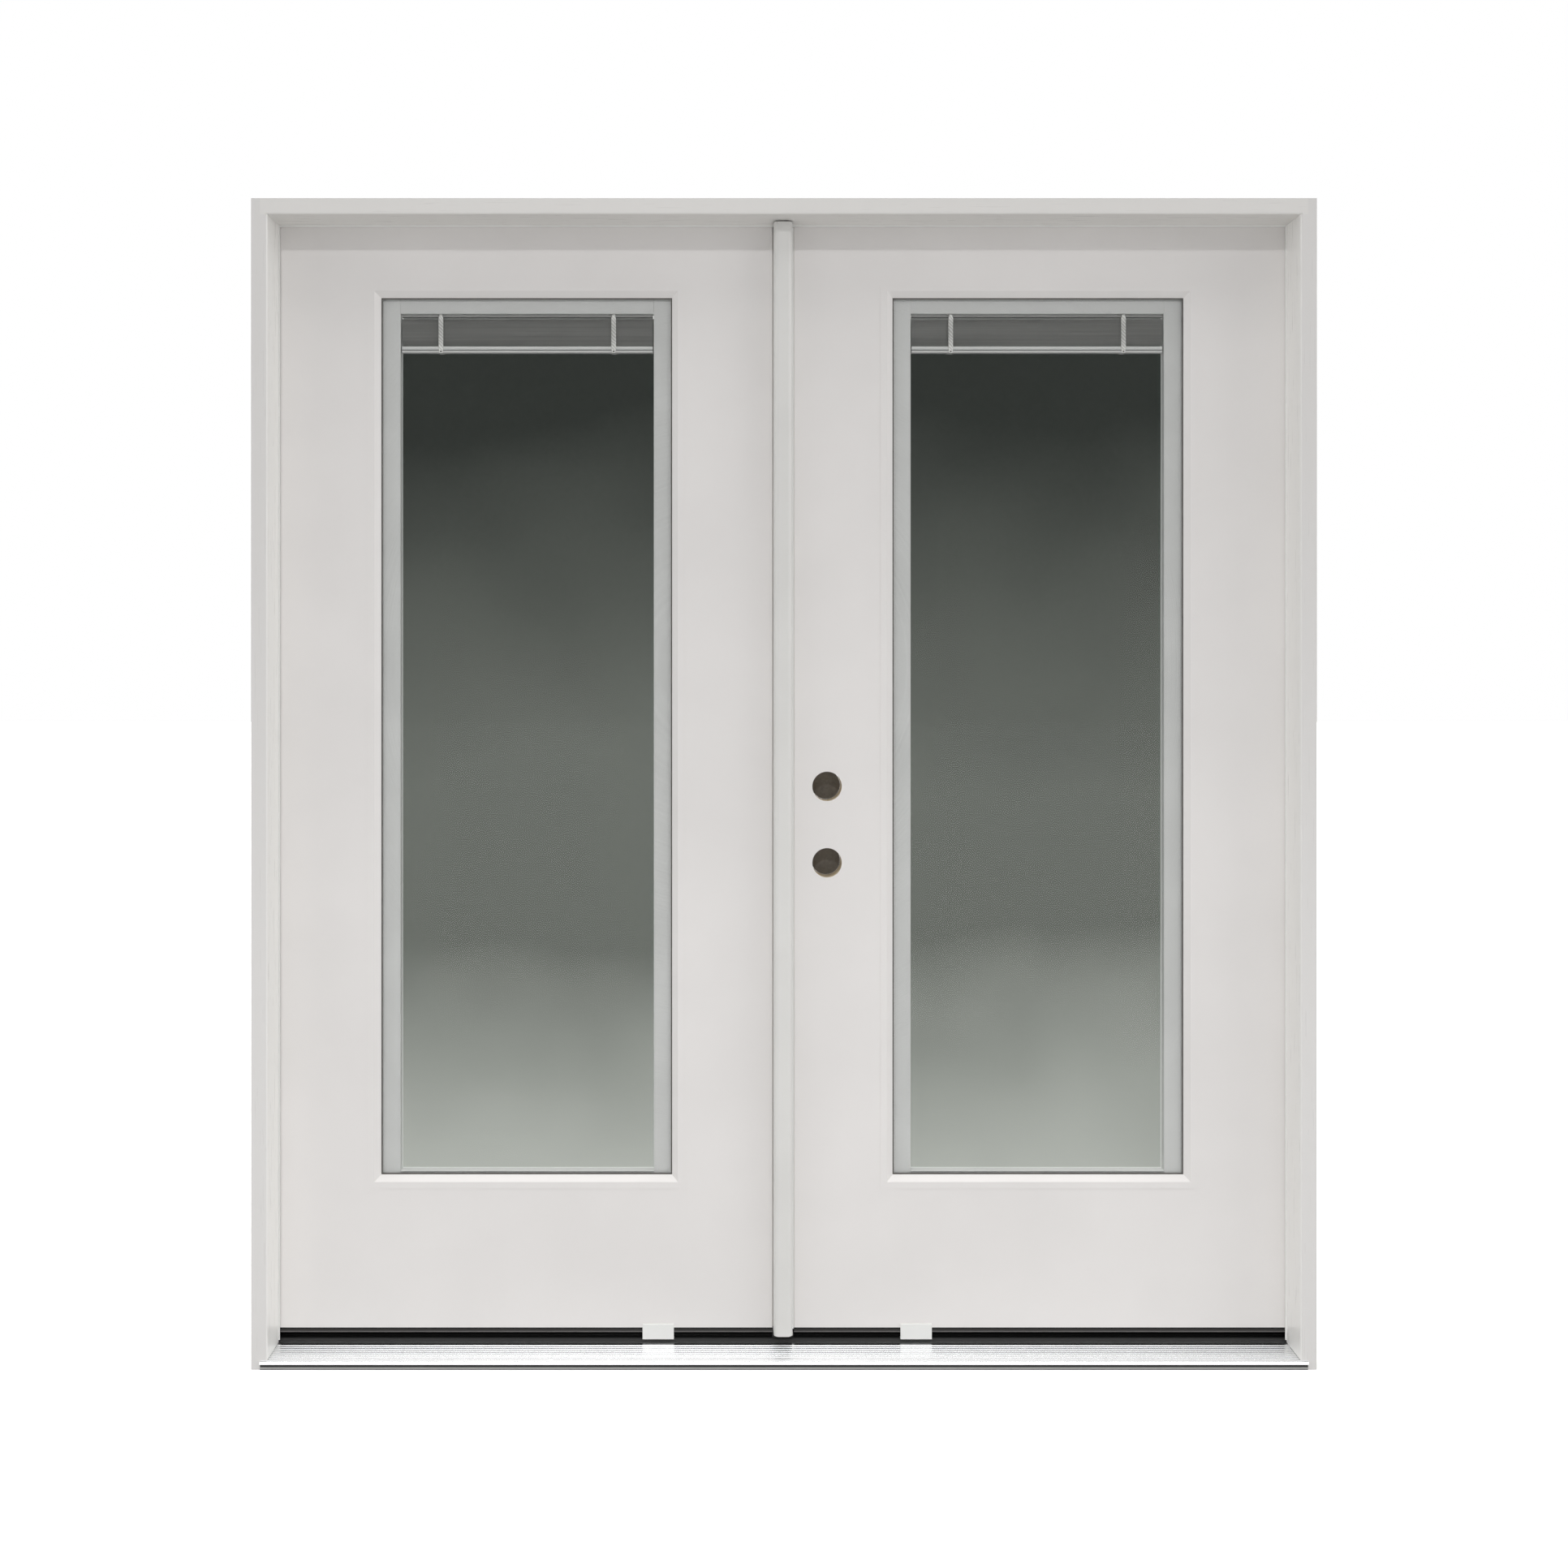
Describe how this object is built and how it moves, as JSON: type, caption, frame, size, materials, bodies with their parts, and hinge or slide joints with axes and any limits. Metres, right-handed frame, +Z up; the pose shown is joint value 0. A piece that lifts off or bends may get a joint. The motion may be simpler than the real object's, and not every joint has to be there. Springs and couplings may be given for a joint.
{
  "type": "glazed double door",
  "caption": "Prehung inswing double door: white leaves with tall panes and blinds between the glass, hinged in a rabbeted frame over a ribbed sill, with an astragal and lock bores.",
  "frame": {"origin": "on the floor under the sill, midway across the frame and midway through the jambs' depth", "axes": "+X to the right seen from outside, +Y from outside to inside, +Z up"},
  "size_m": [1.896, 0.1332, 2.084],
  "materials": {
    "frame_white": "satin white coating over the jambs",
    "leaf_skin": "smooth moulded skin, satin white",
    "stile_timber": "planed softwood inside the leaf's edge",
    "core_foam": "foam filling, unseen",
    "hinge_steel": "satin steel",
    "black_vinyl": "black flexible vinyl, slight sheen",
    "white_vinyl": "white flexible vinyl, matt",
    "glass": "clear float glass with a grey-green cast",
    "channel_grey": "pale grey coating",
    "slat_grey": "grey coating on thin slats",
    "ladder_tape": "white braided tape",
    "slider_plastic": "white moulded plastic",
    "sill_composite": "pressed composite",
    "tread_aluminium": "mill finish, ribbed",
    "astragal_white": "satin white coating"
  },
  "bodies": {
    "frame": {"left_jamb": "frame_white", "right_jamb": "frame_white", "head_jamb": "frame_white", "sill_base": "sill_composite", "sill_tread": "tread_aluminium", "sill_riser": "black_vinyl", "left_weatherstrip": "white_vinyl", "right_weatherstrip": "white_vinyl", "head_weatherstrip": "white_vinyl", "corner_pads": "black_vinyl", "frame_screws": "hinge_steel", "bolt_strikes": "hinge_steel", "jamb_hinge_leaves": "hinge_steel", "hinge_pins": "hinge_steel", "jamb_hinge_screws": "hinge_steel"},
    "left_leaf": {"left_outer_skin": "leaf_skin", "left_inner_skin": "leaf_skin", "left_hinge_stile": "stile_timber", "left_top_rail": "stile_timber", "left_bottom_rail": "stile_timber", "left_core": "core_foam", "left_hinge_leaves": "hinge_steel", "left_hinge_screws": "hinge_steel", "left_sweep": "black_vinyl", "left_sweep_clip": "white_vinyl", "left_outer_pane": "glass", "left_inner_pane": "glass", "left_blind_head": "channel_grey", "left_blind_channels": "channel_grey", "left_blind_sill": "channel_grey", "left_slats": "slat_grey", "left_ladders": "ladder_tape", "left_meeting_stile": "stile_timber", "astragal": "astragal_white", "astragal_seal": "white_vinyl", "astragal_boot": "black_vinyl"},
    "right_leaf": {"right_outer_skin": "leaf_skin", "right_inner_skin": "leaf_skin", "right_hinge_stile": "stile_timber", "right_top_rail": "stile_timber", "right_bottom_rail": "stile_timber", "right_core": "core_foam", "right_hinge_leaves": "hinge_steel", "right_hinge_screws": "hinge_steel", "right_sweep": "black_vinyl", "right_sweep_clip": "white_vinyl", "right_outer_pane": "glass", "right_inner_pane": "glass", "right_blind_head": "channel_grey", "right_blind_channels": "channel_grey", "right_blind_sill": "channel_grey", "right_slats": "slat_grey", "right_ladders": "ladder_tape", "right_lock_stile": "stile_timber"},
    "left_blind": {"left_blind_rail": "channel_grey"},
    "right_blind": {"right_blind_rail": "channel_grey"},
    "left_slider": {"left_blind_slider": "slider_plastic"},
    "right_slider": {"right_blind_slider": "slider_plastic"},
    "upper_bolt": {"upper_bolt": "hinge_steel"},
    "lower_bolt": {"lower_bolt": "hinge_steel"}
  },
  "joints": [
    {"name": "left_leaf_swing", "type": "hinge", "parent": "frame", "child": "left_leaf", "pos_m": [-0.9305, 0.06485, 0], "axis": [0, 0, 1], "range_deg": [0, 120]},
    {"name": "right_leaf_swing", "type": "hinge", "parent": "frame", "child": "right_leaf", "pos_m": [0.9305, 0.06485, 0], "axis": [0, 0, -1], "range_deg": [0, 120]},
    {"name": "left_blind_lower", "type": "slide", "parent": "left_leaf", "child": "left_blind", "axis": [0, 0, -1], "range_m": [0, 1.49], "deforming": ["left_slats", "left_ladders"]},
    {"name": "left_slider_slide", "type": "slide", "parent": "left_leaf", "child": "left_slider", "axis": [0, 0, 1], "range_m": [0, 1.49]},
    {"name": "right_blind_lower", "type": "slide", "parent": "right_leaf", "child": "right_blind", "axis": [0, 0, -1], "range_m": [0, 1.49], "deforming": ["right_slats", "right_ladders"]},
    {"name": "right_slider_slide", "type": "slide", "parent": "right_leaf", "child": "right_slider", "axis": [0, 0, 1], "range_m": [0, 1.49]},
    {"name": "upper_bolt_throw", "type": "slide", "parent": "left_leaf", "child": "upper_bolt", "axis": [0, 0, 1], "range_m": [0, 0.012]},
    {"name": "lower_bolt_throw", "type": "slide", "parent": "left_leaf", "child": "lower_bolt", "axis": [0, 0, -1], "range_m": [0, 0.03]}
  ],
  "couplings": [
    {"joint": "left_slider_slide", "follows": "left_blind_lower", "ratio": 1},
    {"joint": "right_slider_slide", "follows": "right_blind_lower", "ratio": 1}
  ]
}
